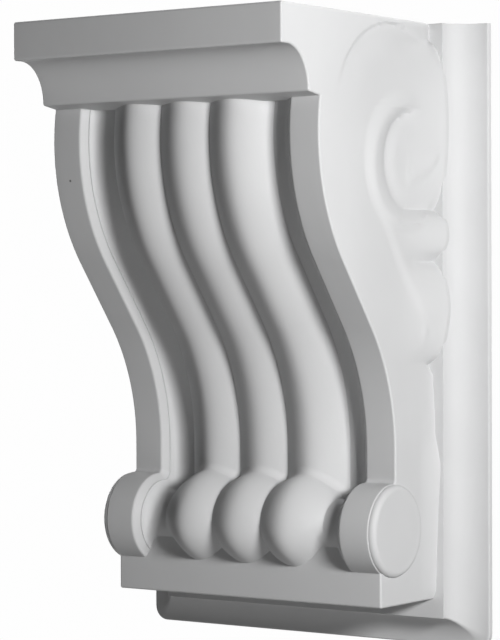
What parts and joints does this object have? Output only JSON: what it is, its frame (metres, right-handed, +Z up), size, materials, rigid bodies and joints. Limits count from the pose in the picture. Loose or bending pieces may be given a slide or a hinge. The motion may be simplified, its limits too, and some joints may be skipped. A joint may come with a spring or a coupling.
{
  "type": "plaster corbel",
  "caption": "Wall-mounted corbel with a moulded slab, a reeded S-shaped front that ends in a roll over a foot block, scrolled sides and a moulded wall plate.",
  "frame": {"origin": "centre of the wall plate's flat back face, on the wall", "axes": "+X across the corbel's width, to the right for someone who faces its front; +Y into the wall, so the front faces -Y; +Z up, the corbel's longest way"},
  "size_m": [0.1696, 0.12, 0.252],
  "materials": {
    "plaster": "matte cast plaster"
  },
  "bodies": {
    "root": {"corbel": "plaster"}
  },
  "joints": []
}
